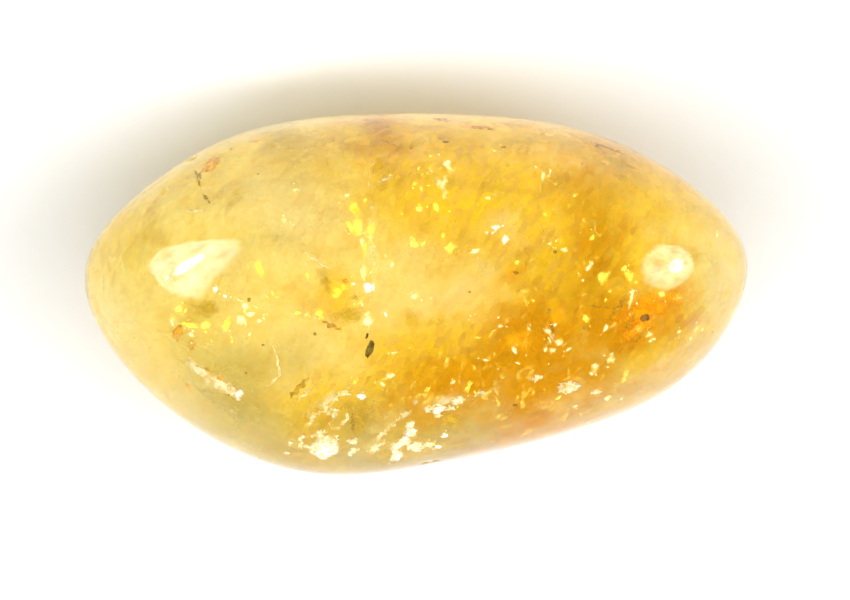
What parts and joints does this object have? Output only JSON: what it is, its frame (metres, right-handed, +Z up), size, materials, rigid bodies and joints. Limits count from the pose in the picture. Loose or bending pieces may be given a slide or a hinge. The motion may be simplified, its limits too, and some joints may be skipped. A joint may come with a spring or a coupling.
{
  "type": "tumbled stone",
  "caption": "Polished golden quartz pebble, a long rounded stone with blunt ends that lies on a small worn flat spot.",
  "frame": {"origin": "the level the stone rests on, under the middle of its length and width", "axes": "+X along the stone's length towards its deeper amber end, +Y towards its steeper long side, +Z up through its thickness"},
  "size_m": [0.03, 0.0164, 0.0134],
  "materials": {
    "golden_quartz": "polished"
  },
  "bodies": {
    "root": {"stone": "golden_quartz"}
  },
  "joints": []
}
